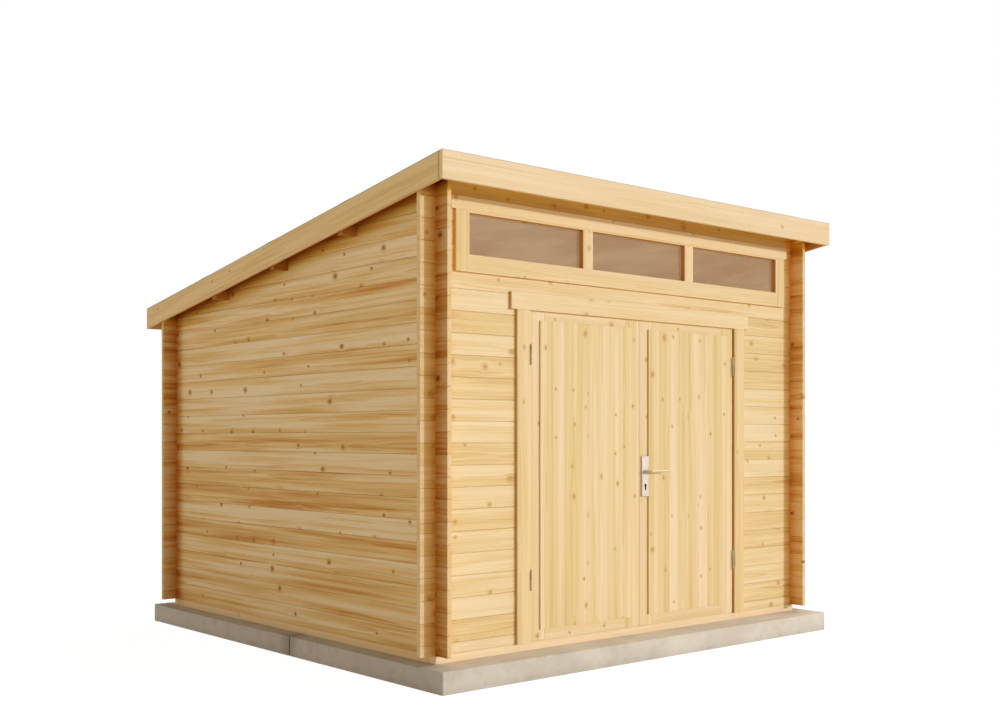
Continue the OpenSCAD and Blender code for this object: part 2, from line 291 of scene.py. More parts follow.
def fit(piece, finish, node):
    """Gives a piece its finish, and stands it in for its node, on that node's body."""
    piece.data.materials.append(finish)
    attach(piece, BODY[node])
    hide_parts(node)


def add_on(piece, finish, body):
    """Gives its finish to a piece that stands for no node, and puts it on a body."""
    piece.data.materials.append(finish)
    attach(piece, body)


# Finishes


def colour(red, green, blue):
    """A display colour of 0 to 255 as the linear colour that the shader takes."""
    share = np.array([red, green, blue]) / 255
    linear = np.where(share <= 0.04045, share / 12.92, ((share + 0.055) / 1.055) ** 2.4)
    return (*linear.tolist(), 1.0)


class Signal:
    """A node's output. Arithmetic on it adds Math nodes to the same finish."""

    def __init__(self, finish, socket):
        self.finish, self.socket = finish, socket

    def maths(self, operation, *terms):
        return self.finish.node("ShaderNodeMath", {"operation": operation}, dict(enumerate(terms)))

    def __add__(self, other):
        return self.maths("ADD", self, other)

    def __sub__(self, other):
        return self.maths("SUBTRACT", self, other)

    def __rsub__(self, other):
        return self.maths("SUBTRACT", other, self)

    def __mul__(self, other):
        return self.maths("MULTIPLY", self, other)

    def __truediv__(self, other):
        return self.maths("DIVIDE", self, other)

    __radd__ = __add__
    __rmul__ = __mul__

    def most(self, other):
        return self.maths("MAXIMUM", self, other)

    def root(self):
        return self.maths("SQRT", self)

    def size(self):
        return self.maths("ABSOLUTE", self)

    def fraction(self):
        return self.maths("FRACT", self)

    def natural_power(self):
        return self.maths("EXPONENT", self)

    def above(self, limit):
        return self.maths("GREATER_THAN", self, limit)

    def ramp(self, start, end):
        """0 at start and 1 at end, with a smooth rise or fall between them."""
        inputs = {"Value": self, "From Min": start, "From Max": end}
        return self.finish.node("ShaderNodeMapRange", {"interpolation_type": "SMOOTHSTEP"}, inputs)

    def other(self, name):
        """Another output of the same node."""
        return Signal(self.finish, self.socket.node.outputs[name])

    def parts(self):
        """The three parts of a vector or a colour."""
        split = self.finish.node("ShaderNodeSeparateXYZ", {}, {0: self})
        return split, split.other("Y"), split.other("Z")


class Finish:
    """The nodes of a material, or of the world."""

    def __init__(self, name, owner=None):
        self.material = owner or bpy.data.materials.new(name)
        self.material.use_nodes = True
        self.tree = self.material.node_tree
        self.tree.nodes.clear()

    def node(self, kind, settings, inputs, output=0):
        """Adds a node with its settings, then the values or links of its sockets."""
        made = self.tree.nodes.new(kind)
        for name, value in settings.items():
            setattr(made, name, value)
        for name, value in inputs.items():
            if isinstance(value, Signal):
                self.tree.links.new(value.socket, made.inputs[name])
            else:
                made.inputs[name].default_value = value
        return Signal(self, made.outputs[output]) if made.outputs else None

    def attribute(self, name):
        """The three parts of an attribute that the mesh carries."""
        return self.node("ShaderNodeAttribute", {"attribute_name": name}, {}, "Vector").parts()

    def place(self):
        """The Object coordinates."""
        return self.node("ShaderNodeTexCoord", {}, {}, "Object")

    def vector(self, x, y, z):
        """A vector of three parts."""
        return self.node("ShaderNodeCombineXYZ", {}, {0: x, 1: y, 2: z})

    def noise(self, where, scale=1.0, detail=2.0, roughness=0.5):
        """Smooth noise about 0.5."""
        inputs = {"Vector": where, "Scale": scale, "Detail": detail, "Roughness": roughness}
        return self.node("ShaderNodeTexNoise", {}, inputs)

    def cells(self, where, scale=1.0, dimensions="3D", **inputs):
        """Distance to the nearest of scattered points, one to a cell."""
        inputs = {"Vector": where, "Scale": scale, **inputs}
        return self.node("ShaderNodeTexVoronoi", {"voronoi_dimensions": dimensions}, inputs)

    def mix(self, share, first, second, blend="MIX"):
        """The first colour where the share is 0, the second where it is 1."""
        settings = {"data_type": "RGBA", "blend_type": blend}
        return self.node("ShaderNodeMix", settings, {0: share, 6: first, 7: second}, 2)

    def stain(self, share, first, second):
        """The first colour, multiplied by the second as far as the share says."""
        return self.mix(share, first, second, "MULTIPLY")

    def coats(self, body, *layers):
        """A colour with further display colours mixed over it, each as far as its share says."""
        for share, tone in layers:
            body = self.mix(share, body, colour(*tone))
        return body

    def bump(self, height, distance, strength):
        """A normal that leans with the slope of a height."""
        return self.node("ShaderNodeBump", {}, {"Height": height, "Distance": distance, "Strength": strength})

    def surface(self, **sockets):
        """The closing shader. Each name is a socket of the Principled shader, with _ for a space."""
        inputs = {name.replace("_", " "): value for name, value in sockets.items()}
        shader = self.node("ShaderNodeBsdfPrincipled", {}, inputs)
        self.node("ShaderNodeOutputMaterial", {}, {0: shader})
        return self.material


def painted_shade_shares(x, y, z, corner_share, eave_reach, eave_full, verge_reach):
    """Three shares of painted shade, from 0 to 1: how far a place lies into a corner between two walls, how far
    up under the roof boards, and how far up under a verge board. Faces that look away from the corner, at the
    back, on the right and behind the left front arm, keep less than a third of the corner's share."""
    side = x.size() - SIDE_MIDDLE
    long = ((y - MIDDLE_Y).size() - LONG_MIDDLE) * 0.9
    corner = (side * side + long * long).root()
    below = under_deck(0) - y * SLOPE - z
    outer = (x.size() - HALF_W).ramp(-0.008, -0.002)
    off_left = x.ramp(0.002 - HALF_W, 0.005 - HALF_W)
    at_back = (y - BACK).ramp(-0.006, -0.001) * off_left
    on_right = (x - HALF_W).ramp(-0.006, -0.001)
    behind_left_arm = (FRONT - y).ramp(-0.002, 0.004) * off_left * x.ramp(0.0, -0.1)
    open_side = at_back.most(on_right).most(behind_left_arm)
    nook = corner.ramp(CORNER_REACH, 0.0) * (1 - open_side * 0.7) * corner_share
    return nook, below.ramp(eave_reach, eave_full), below.ramp(verge_reach, VERGE_FULL) * outer


def knots(wood, along, across, knotty):
    """One candidate in each cell of a board, as a slightly long spot. Gives the knot, the halo round it, how
    far it pushes the grain aside, which falls off as a bell curve, and a draw for its tint."""
    u, v = along / KNOT_CELL[0], across / KNOT_CELL[1]
    cell = wood.cells(wood.vector(u, v, 0), dimensions="2D", Randomness=0.9)
    knot_u, knot_v, _ = cell.other("Position").parts()
    size_draw, there_draw, tint_draw = cell.other("Color").parts()
    from_along = (u - knot_u) * KNOT_CELL[0]
    from_across = (v - knot_v) * KNOT_CELL[1]
    there = there_draw.above(1 - knotty)
    size = KNOT_R + size_draw * size_draw * KNOT_R_SPREAD
    wobble = wood.noise(wood.vector(along * 70, across * 130, 0), detail=2.0) - 0.5
    reach = (from_along * from_along * 0.7 + from_across * from_across).root() / size + wobble * 1.8
    swell = (reach * reach * -0.16).natural_power() * there
    return reach.ramp(1.2, 0.4) * there, reach.ramp(2.6, 0.6) * there, from_across * swell * 0.75, tint_draw


def spruce(name, pale, warm, deep_tone, knotty, knot_core=(176, 118, 56), knot_share=0.7, tone_spread=0.8,
           streaky=1.0, banded=1.0, fine=(1.2, 60), wide=(0.8, 17), corner_share=0.85, eave_reach=0.0,
           eave_full=-0.02, verge_reach=0.145, recess=None, verge_face=0.0):
    """Planed spruce, read from each board's grain. Growth rings are circles about a pith beside the board,
    pushed about by slow noise and bent round the knots. Wide and fine streaks and a tone for each board lie
    over them. Where asked for, painted shade darkens and warms the wood in corners, under the roof and verge
    boards, beside casings and in reveals."""
    wood = Finish(name)
    along, across, deep = wood.attribute("grain")
    lot_a, lot_b, sawn = wood.attribute("lot")
    planed = 1 - sawn
    along_far = along + lot_a * 61
    across_far = across + lot_b * 47
    knot, halo, push, tint_draw = knots(wood, along_far, across_far, knotty)
    bent = across - push
    bent_far = across_far - push

    def grain_noise(along_rate, across_rate, shift=0, **kind):
        into = deep * across_rate
        where = wood.vector(along_far * along_rate, bent_far * across_rate, into + shift if shift else into)
        return wood.noise(where, **kind)

    # Growth rings: the tone climbs over a ring's width and drops back at its late wood
    slow = grain_noise(0.9, 5, detail=2.0) - 0.5
    quick = grain_noise(5, 40, detail=1.0) - 0.5
    side = bent - PITH_ACROSS - (lot_b - 0.5) * PITH_ACROSS_SPREAD
    below = deep + PITH_DEEP + lot_a * PITH_DEEP_SPREAD
    radius = (side * side + below * below).root() + slow * 0.022 + quick * 0.0012
    turn = (radius / (RING_GAP + lot_b * RING_GAP_SPREAD)).fraction()
    ring = turn.ramp(0.15, 0.9) * turn.ramp(1.0, 0.9)

    # Streaks, slow drifts of tone, and fibres
    streak = grain_noise(*fine, detail=3.0, roughness=0.6) - 0.5
    flare = grain_noise(*wide, shift=7.0, detail=2.0) - 0.5
    fibre = grain_noise(14, 620, detail=2.0)

    corner, eaves, verge = 0, 0, 0
    if eave_reach or verge_face or recess:
        x, y, z = wood.place().parts()
    if eave_reach:
        corner, eaves, verge = painted_shade_shares(x, y, z, corner_share, eave_reach, eave_full, verge_reach)
    # Streaks are drawn stronger where corner and eave shade is painted, as they look in shade.
    swing = (streak * 2.6 * streaky + flare * 3.2 * banded) * (1 - sawn * 0.85) * (1 + (corner + eaves) * 0.6)
    tone = (lot_a - 0.5) * (1 - sawn * 0.6) * tone_spread + swing + ring * 0.4 + 0.4
    body = wood.coats(
        colour(*pale),
        (tone.ramp(0.0, 1.0), warm),
        (tone.ramp(0.75, 2.0), deep_tone),
        (fibre.ramp(0.45, 0.8) * 0.14, deep_tone),
        (sawn * 0.12, deep_tone),
        (halo * knot_share * 0.6, deep_tone),
        (knot * knot_share * (0.85 + tint_draw * 0.15), knot_core),
    )
    if eave_reach:
        # Painted shade: the wood in corners between walls is darkened and warmed.
        body = wood.stain(corner * (1 - sawn * 0.8), body, CORNER_SHADE)
        # Painted shade under the roof boards.
        body = wood.stain(eaves, body, EAVE_SHADE)
        # Painted shade just under the verge boards.
        body = wood.stain(verge, body, VERGE_SHADE)
    if verge_face:
        body = wood.stain(along.ramp(0.011, 0.003) * planed, body, BOARD_END)
        # Painted shade on the verge board's inner face, which looks towards the wall.
        body = wood.stain(x.size().ramp(verge_face + 0.003, verge_face + 0.001), body, VERGE_INNER_SHADE)
    # Painted shade on faces set back from the casing face: the casing's outer edge takes the given tone, the
    # other set-back faces, the reveals, take the reveal shade.
    if recess:
        outer_edge, edge_shade = recess
        recessed = (y - CASING_FACE).ramp(0.0015, 0.009) * 0.9
        at_edge = x.size().ramp(outer_edge - 0.004, outer_edge - 0.002)
        body = wood.stain(recessed * at_edge, body, edge_shade)
        body = wood.stain(recessed * (1 - at_edge), body, REVEAL_SHADE)
    # Painted shade on the arms' faces beyond the side walls in front, and in the back corners.
    if eave_reach and corner_share:
        outside = (x.size() - HALF_W).ramp(-0.003, -0.001) * (y - FRONT).ramp(0.004, -0.006)
        body = wood.stain((outside + corner * y.ramp(0.5, 1.0)) * planed, body, CORNER_ARM_SHADE)

    height = ring * 0.5 + fibre * 0.6 - streak * 0.3 + knot * 0.15
    return wood.surface(
        Base_Color=body,
        Roughness=0.66 - ring * 0.08 - knot * 0.12,
        Specular_IOR_Level=0.12,
        Normal=wood.bump(height, 0.0006, 0.4),
    )


def cast_concrete():
    """Cast concrete: broad mottling, sand, air holes, a damp darker foot and a stain beside the bay joint.
    Painted shade makes the sides greyer, and darkens the top's margins beside the side walls and the edges up
    the front corners."""
    cast = Finish("cast_concrete_grey")
    where = cast.place()
    x, y, z = where.parts()
    past_side, past_wall, over = x.size() - BASE_HALF, x.size() - HALF_W, z - BASE_TOP
    broad = cast.noise(where, 3.2, 4.0, 0.6)
    sand = cast.noise(where, 210.0, 3.0, 0.7)
    patch = cast.noise(where, 14.0, 4.0, 0.65)
    holes = cast.cells(where, 46.0)
    hole_draw, _, _ = holes.other("Color").parts()
    hole = holes.ramp(0.14, 0.07) * hole_draw.above(0.86)
    foot = (over + 0.116).ramp(0.05, 0.0)
    # Painted shade: the side faces are made greyer and darker.
    side_shade = (past_side + 0.004).ramp(0.0, 0.003)
    joint = (y - BAY_JOINT).size()
    stain = (joint + (patch - 0.5) * 0.12).ramp(0.13, 0.0)
    # Painted shade along the top beside the side walls and up the front corner edges.
    margin_shade = over.ramp(-0.007, -0.004) * past_wall.ramp(-0.02, 0.0) * (y - FRONT).ramp(-0.02, 0.02)
    arris_shade = past_side.ramp(-0.006, -0.001) * (LOW["concrete_base"][1] - y).ramp(-0.006, -0.001)
    body = cast.coats(
        colour(226, 215, 199),
        (broad.ramp(0.35, 0.65), (212, 200, 182)),
        (side_shade * 0.75, (204, 194, 192)),
        (patch.ramp(0.45, 0.72) * (0.18 + side_shade * 0.3), (186, 174, 160)),
        (sand.ramp(0.5, 0.8) * 0.25, (170, 158, 142)),
        ((margin_shade * 0.38).most(arris_shade * 0.6), (116, 92, 72)),
        (joint.ramp(0.008, 0.002), (96, 84, 74)),
        (stain * 0.5, (140, 126, 114)),
        (foot * patch * 0.4, (160, 148, 132)),
        (hole * 0.7, (126, 116, 104)),
    )
    height = patch * 0.6 + sand * 0.5 - hole * 2.5 + broad * 0.4
    return cast.surface(
        Base_Color=body,
        Roughness=0.86 + (sand - 0.5) * 0.2,
        Specular_IOR_Level=0.3,
        Normal=cast.bump(height, 0.0012, 0.5),
    )


def roofing_felt():
    """Mineral felt: slate granules of mixed greys pressed into bitumen, rubbed thinner in places."""
    felt = Finish("mineral_felt_grey")
    where = felt.place()
    grains = felt.cells(where, 420.0)
    shade, _, _ = grains.other("Color").parts()
    rubbed = felt.noise(where, 2.4, 5.0, 0.65)
    sweep = felt.noise(where, 30.0, 3.0, 0.6)
    body = felt.coats(
        colour(74, 76, 78),
        (shade, (126, 127, 126)),
        (grains.ramp(0.35, 0.75) * 0.6, (48, 48, 50)),
        (rubbed.ramp(0.5, 0.75) * 0.45, (92, 92, 90)),
        (sweep.ramp(0.55, 0.8) * 0.25, (60, 61, 63)),
    )
    return felt.surface(
        Base_Color=body,
        Roughness=0.9 - rubbed * 0.12,
        Specular_IOR_Level=0.3,
        Normal=felt.bump(grains * -1.0 + sweep * 0.4, 0.0009, 0.6),
    )


def brushed_steel(name, light, dark, metal, rough, run, hollow=None):
    """Brushed steel: fine scratches that run one way, with faint duller handling marks. Inside a hollow box,
    where one is given, it is painted dark with the shade of the space behind a keyhole."""
    steel = Finish(name)
    where = steel.place()
    x, y, z = where.parts()
    stretched = steel.vector(x * run[0], y * run[1], z * run[2])
    scratch = steel.noise(stretched, 1.0, 3.0, 0.65)
    marks = steel.noise(where, 55.0, 4.0, 0.6)
    body = steel.coats(colour(*light), (scratch.ramp(0.35, 0.7), dark), (marks.ramp(0.55, 0.8) * 0.35, dark))
    if hollow:
        middle, half = (hollow[0] + hollow[1]) / 2, (hollow[1] - hollow[0]) / 2
        sunk = ((y - middle[1]).size() - half[1]).ramp(-0.0008, -0.0024)
        inside = ((x - middle[0]).size() - half[0]).ramp(-0.003, -0.005)
        # Painted shade in the keyhole.
        body = steel.coats(body, (sunk * inside, (34, 30, 26)))
    return steel.surface(
        Base_Color=body,
        Metallic=metal,
        Roughness=rough + (scratch - 0.5) * 0.25 + marks.ramp(0.5, 0.8) * 0.12,
        Normal=steel.bump(scratch * 0.6 + marks * 0.3, 0.0002, 0.4),
    )


def painted_glow_glass():
    """Window glass with a painted reflection of wood: a tan colour with soft clouds and faint slanting streaks
    of sheen.
    """
    glass = Finish("window_glass_painted_glow")
    where = glass.place()
    x, y, z = where.parts()
    slant = z - x * 0.2
    sheen_streak = glass.noise(glass.vector(slant * 9, (x + z) * 1.2, y), 1.0, 3.0, 0.6)
    cloud = glass.noise(where, 3.5, 4.0, 0.6)
    speck = glass.noise(where, 160.0, 2.0, 0.5)
    body = glass.coats(
        colour(197, 163, 124),
        (sheen_streak.ramp(0.35, 0.7), (183, 146, 107)),
        (cloud.ramp(0.45, 0.7) * 0.5, (189, 153, 118)),
    )
    # Painted glow: the colour comes mostly through emission, over a base darkened by more than half.
    return glass.surface(
        Base_Color=glass.coats(body, (0.55, (20, 16, 12))),
        Emission_Color=body,
        Emission_Strength=0.44,
        Roughness=0.28 + sheen_streak * 0.2,
        Alpha=0.84 + (cloud - 0.5) * 0.12 + speck.ramp(0.6, 0.8) * 0.08,
        Specular_IOR_Level=0.03,
        Normal=glass.bump(cloud, 0.0004, 0.15),
    )


# Base and walls

BAY_JOINT = FRONT + 1.268
BAY_GAP = 0.004
SPLICE = FRONT + 2.033
BUTT_GAP = 0.0005


def concrete_bays():
    """Two cast bays and the filler between them: each is a rounded plan carried upwards, and the bays are
    drawn in a little at their upper edges."""
    low, high = corners("concrete_base")
    wide, height = high[0] - low[0], high[2] - low[2]
    levels = [(0, 0.002), (0.002, 0), (height - 0.006, 0), (height - 0.002, 0.0017), (height, 0.006)]
    work = Work()
    for start, end in ((low[1], BAY_JOINT - BAY_GAP / 2), (BAY_JOINT + BAY_GAP / 2, high[1])):
        work.carry(rounded(wide, end - start, 0.008), (low[0], start, low[2]), X, Y, Z, levels)
    filler = rounded(wide - 0.012, 2 * BAY_GAP, 0.0005)
    corner = (low[0] + 0.006, BAY_JOINT - BAY_GAP, low[2] + 0.002)
    work.carry(filler, corner, X, Y, Z, [(0, 0), (height - 0.010, 0)])
    return work.piece("concrete_bays")


def bearer(node, along, seed, splices):
    """The timber under one wall, in lengths that butt at the splices."""
    timber = Timber(seed)
    ends = [LOW[node][along], *splices, HIGH[node][along]]
    for start, end in zip(ends, ends[1:]):
        low, high = LOW[node].copy(), HIGH[node].copy()
        low[along], high[along] = start + BUTT_GAP, end - BUTT_GAP
        timber.plank(low, high, along, 0.003)
    return timber.piece(f"{node}_timber")


def courses(bottom, top, line):
    """The lower and upper edges of the boards from a bottom up to the joint that reaches the top. Joints lie
    whole courses above the line."""
    first = math.floor((bottom - line) / COURSE + 1.001)
    last = math.ceil((top - line) / COURSE - 0.001)
    edges = [bottom, *(line + COURSE * np.arange(first, last + 1))]
    return zip(edges, edges[1:])


def cut_place(level):
    """Distance to the back at which the cut of the wall boards comes down to a level."""
    return HIGH["roof_deck"][1] - (level + SEAT - LOW["roof_deck"][2]) / SLOPE


def side_wall(node, outer, into, seed):
    """A side wall's boards, each run out to a wedge where the roof's cut crosses it."""
    timber = Timber(seed)
    start, end = LOW[node][1], HIGH[node][1]
    for low, high in courses(BEARER_TOP, wall_top(start), BEARER_TOP):
        length = min(end, cut_place(low + WEDGE_END)) - start
        stops = [cut_place(level) - start for level in (high + TONGUE, high)]
        board = wall_board(high - low)
        timber.board(board, (outer, start, low), Z, into * X, Y, length, stops=stops, cut=wall_top)
    return timber.piece(f"{node}_boards")


def long_wall(name, seed, face, into, spans, bottom, top, cut):
    """Boards of the front or back wall over one or two spans of X, from a bottom to a top level."""
    timber = Timber(seed)
    for low, high in courses(bottom, top, HALF_COURSE_LINE):
        for start, end in spans:
            timber.board(wall_board(high - low), (start, face, low), Z, into * Y, X, end - start, cut=cut)
    return timber.piece(name)


def span(node):
    """A node's left and right end."""
    return LOW[node][0], HIGH[node][0]


def front_wall(node, seed, spans=None, bottom=None, top=None, cut=None, kind="boards"):
    """The front wall's boards that stand in for one node, within the node's own box where nothing else is
    given."""
    spans, bottom, top = spans or [span(node)], bottom or LOW[node][2], top or HIGH[node][2]
    fit(long_wall(f"{node}_{kind}", seed, FRONT, 1, spans, bottom, top, cut), FRONT_BOARDS, node)


# Window

WALL_BACK = FRONT + WALL_T
PANE_LOW, PANE_HIGH = LOW["window_glass"][2], HIGH["window_glass"][2]
HEAD_LOW = HIGH["window_side_posts"][2]
WINDOW_HALF = HIGH["window_side_posts"][0]
HOLE_HALF = PANE_HALF + 0.025
BEAD = 0.0035


def window_head():
    """The window's head: its board, the strip below it over the panes, and the lining in the wall."""
    timber = Timber(326)
    low, high = corners("window_head_board")
    reach = PANE_HALF + POST_STRIP_W
    timber.plank((low[0], low[1], HEAD_LOW), (high[0], FRONT, high[2]), 0)
    timber.plank((-reach, CASING_FACE, PANE_HIGH), (reach, FRONT, HEAD_LOW), 0)
    timber.plank((-HOLE_HALF, FRONT, PANE_HIGH), (HOLE_HALF, WALL_BACK, LOW["front_wall_top"][2]), 0)
    return timber.piece("window_head_timber")


def window_sill():
    """The window's sill: its board, and the lining in the wall."""
    timber = Timber(503)
    foot, top = LOW["window_sill_board"][2], HIGH["window_sill_board"][2]
    reach = PANE_HALF + POST_STRIP_W
    timber.plank((-reach, CASING_FACE, foot), (reach, FRONT, top), 0)
    timber.plank((-HOLE_HALF, FRONT, LOW["front_wall_window_ends"][2]), (HOLE_HALF, WALL_BACK, top), 0)
    return timber.piece("window_sill_timber")


def window_posts():
    """The window's two posts: the casing, the narrow strip beside the pane, and the lining in the wall."""
    timber = Timber(562)
    inner = PANE_HALF + POST_STRIP_W
    foot = LOW["window_side_posts"][2]
    timber.pair((inner, CASING_FACE, foot), (WINDOW_HALF, FRONT, HEAD_LOW), 2)
    timber.pair((PANE_HALF, CASING_FACE, PANE_LOW), (inner, FRONT, PANE_HIGH), 2)
    timber.pair((PANE_HALF, FRONT, PANE_LOW), (HOLE_HALF, WALL_BACK, PANE_HIGH), 2)
    return timber.piece("window_post_timber")


def window_bars():
    """The two bars between the panes: the casing, and the post in the wall behind it."""
    timber = Timber(34)
    outer = HIGH["window_mullions"][0]
    inner = outer - MULLION_W
    timber.pair((inner, CASING_FACE, PANE_LOW), (outer, FRONT, PANE_HIGH), 2)
    timber.pair((inner, FRONT, PANE_LOW), (outer, WALL_BACK, PANE_HIGH), 2)
    return timber.piece("window_bar_timber")


def pane_spans():
    """The left and right edge of each pane."""
    outer = HIGH["window_mullions"][0]
    inner = outer - MULLION_W
    return (-PANE_HALF, -outer), (-inner, inner), (outer, PANE_HALF)


def glazing_beads():
    """Four thin strips in front of each pane."""
    timber = Timber(35)
    face, back = LOW["window_glass"][1] - 0.002, LOW["window_glass"][1]
    for left, right in pane_spans():
        timber.plank((left, face, PANE_LOW), (right, back, PANE_LOW + BEAD), 0)
        timber.plank((left, face, PANE_HIGH - BEAD), (right, back, PANE_HIGH), 0)
        timber.plank((left, face, PANE_LOW + BEAD), (left + BEAD, back, PANE_HIGH - BEAD), 2)
        timber.plank((right - BEAD, face, PANE_LOW + BEAD), (right, back, PANE_HIGH - BEAD), 2)
    return timber.piece("glazing_beads")


def window_panes():
    """Three sheets of glass, their edges a little rounded."""
    work = Work()
    face, back = LOW["window_glass"][1], HIGH["window_glass"][1]
    for left, right in pane_spans():
        outline = rounded(right - left, PANE_HIGH - PANE_LOW, 0.001)
        work.carry(outline, (left, face, PANE_LOW), X, Z, Y, eased(back - face, 0.0005))
    return work.piece("window_panes")


# Door frame and leaves

DOOR_HALF = HIGH["door_stops"][0]
STOP_W = 0.020
THIN = 0.0004
BOARDS_PER_LEAF = 8
LEAF_FACE, LEAF_BACK = LOW["right_door_stiles"][1], HIGH["right_door_stiles"][1]
LEAF_LOW, LEAF_HIGH = LOW["right_door_stiles"][2], HIGH["right_door_stiles"][2]


def door_post_timber():
    """The door's two posts: the casing on the wall, and the jamb through it."""
    timber = Timber(528)
    foot, head = LOW["door_posts"][2], HIGH["door_posts"][2]
    back = HIGH["door_posts"][1]
    timber.pair((DOOR_HALF, CASING_FACE, foot), (HIGH["door_posts"][0], FRONT, head), 2)
    timber.pair((DOOR_HALF, FRONT, foot), (DOOR_HALF + JAMB_W, back, head), 2)
    return timber.piece("door_post_timber")


def door_head_timber():
    """The door's head: the board on the wall, and the lintel through it."""
    timber = Timber(547)
    low, high = corners("door_head")
    reach = DOOR_HALF + JAMB_W
    timber.plank(low, (high[0], FRONT, high[2]), 0)
    timber.plank((-reach, FRONT, low[2]), (reach, high[1], LOW["front_wall_over_door"][2]), 0)
    return timber.piece("door_head_timber")


def door_stop_timber():
    """The stops behind the leaves: two uprights, one under the head, and a thin strip in the slit above and
    below the leaves."""
    timber = Timber(43)
    low, high = corners("door_stops")
    under_head, strip_face = high[2] - STOP_W, LEAF_FACE + 0.001
    timber.pair((DOOR_HALF - STOP_W, low[1], low[2]), (DOOR_HALF, high[1], under_head - 0.001), 2)
    timber.plank((low[0], low[1], under_head), high, 0)
    timber.plank((low[0], strip_face, LEAF_HIGH + THIN), (high[0], low[1], high[2]), 0, THIN)
    timber.plank((low[0], strip_face, low[2]), (high[0], low[1], LEAF_LOW - THIN), 0, THIN)
    return timber.piece("door_stop_timber")


def leaf_frame(side, seed):
    """A leaf's two stiles and two rails, as two pieces."""
    stiles, rails = Timber(seed), Timber(seed + 1)
    low, high = corners(f"{side}_door_stiles")
    stiles.plank(low, (low[0] + STILE_W, high[1], high[2]), 2)
    stiles.plank((high[0] - STILE_W, low[1], low[2]), high, 2)
    low, high = corners(f"{side}_door_rails")
    rails.plank(low, (high[0], high[1], low[2] + STILE_W), 0)
    rails.plank((low[0], low[1], high[2] - STILE_W), high, 0)
    return stiles.piece(f"{side}_door_stile_timber"), rails.piece(f"{side}_door_rail_timber")


def leaf_boards(side, seed):
    """Upright matched boards side by side over a leaf's frame."""
    timber = Timber(seed)
    low, high = corners(f"{side}_door_boards")
    width = (high[0] - low[0]) / BOARDS_PER_LEAF
    outline = match_board(width, high[1] - low[1], 0.0003)
    for place in low[0] + width * np.arange(BOARDS_PER_LEAF):
        timber.board(outline, (place, low[1], low[2]), X, Y, Z, high[2] - low[2], ease=0.001)
    return timber.piece(f"{side}_door_matched_boards")


def meeting_strip():
    """The strip on the left leaf that fills most of the slit between the leaves."""
    timber = Timber(58)
    edge = HIGH["left_door_stiles"][0]
    face, back = LEAF_FACE + 0.0006, LEAF_BACK - 0.006
    timber.plank((edge, face, LEAF_LOW), (edge + 0.0030, back, LEAF_HIGH), 2, THIN)
    return timber.piece("meeting_strip")


# Hinges and lock

BARREL_R = 0.008
KNUCKLE_R = 0.0034
HINGE_L = 0.115
FLAP_T = 0.002
HINGE_X = HIGH["hinge_pins"][0] - BARREL_R
HINGE_Y = LOW["hinge_pins"][1] + BARREL_R
HINGE_MIDS = (LOW["hinge_pins"][2] + HINGE_L / 2, HIGH["right_door_hinges"][2] - HINGE_L / 2)


def knuckle(work, hinge_x, flap, foot, domed):
    """Half of a hinge: a turned knuckle with one domed end, and its flap, a thin plate with rounded
    corners."""
    length = HINGE_L / 2 - THIN
    profile = np.array([
        (0, 0.88), (0.0006, 1), (length - 0.005, 1), (length - 0.0045, 0.84), (length - 0.0035, 0.84),
        (length - 0.003, 0.95), (length - 0.0008, 0.66), (length, 0.2),
    ]) * (1, KNUCKLE_R)
    work.turn((hinge_x, HINGE_Y, foot), domed * Z, profile)
    back = HIGH["hinge_pins"][1]
    start = (flap, HINGE_Y + BARREL_R - 0.003, min(foot, foot + domed * length))
    work.carry(rounded(back - start[1], length, 0.004), start, Y, Z, X, eased(FLAP_T, 0.0003))


def frame_hinges():
    """The posts' half of each hinge, and the pin's collar between the halves."""
    work = Work()
    collar = [(0, 0.0024), (0.0006, 0.0031), (0.0012, 0.0024)]
    for middle in HINGE_MIDS:
        knuckle(work, HINGE_X, DOOR_HALF - FLAP_T, middle - 0.0002, -1)
        knuckle(work, -HINGE_X, -DOOR_HALF, middle - 0.0002, -1)
        for side in (-1, 1):
            work.turn((side * HINGE_X, HINGE_Y, middle - 0.0005), Z, collar)
    return work.piece("frame_hinge_knuckles")


def leaf_hinges(side, sign):
    """A leaf's half of its two hinges."""
    work = Work()
    edge = HIGH["right_door_stiles"][0]
    for middle in HINGE_MIDS:
        knuckle(work, sign * HINGE_X, edge if sign > 0 else -edge - FLAP_T, middle + THIN, 1)
    return work.piece(f"{side}_door_hinge_knuckles")


LEVER_R = 0.009
LEVER_X = LOW["lever"][0] + LEVER_R
LEVER_Z = (LOW["lever"][2] + HIGH["lever"][2]) / 2
GRIP_T = 0.011
KEYHOLE_DROP = 0.092
PLATE_EASE = 0.0012


def keyhole_reach(angle):
    """Distance from the keyhole's middle to its edge: the farther of a circle above the middle and a narrow
    slot through it."""
    circle_up, circle_r, slot_half, slot_up, slot_down = 0.0085, 0.0095, 0.0055, 0.008, 0.019
    sine, cosine = np.sin(angle), np.cos(angle)
    circle = circle_up * sine + np.sqrt(np.maximum(circle_r**2 - (circle_up * cosine) ** 2, 0))
    to_side = slot_half / np.maximum(np.abs(cosine), 1e-6)
    to_end = np.where(sine > 0, slot_up, slot_down) / np.maximum(np.abs(sine), 1e-6)
    return np.maximum(circle, np.minimum(to_side, to_end))


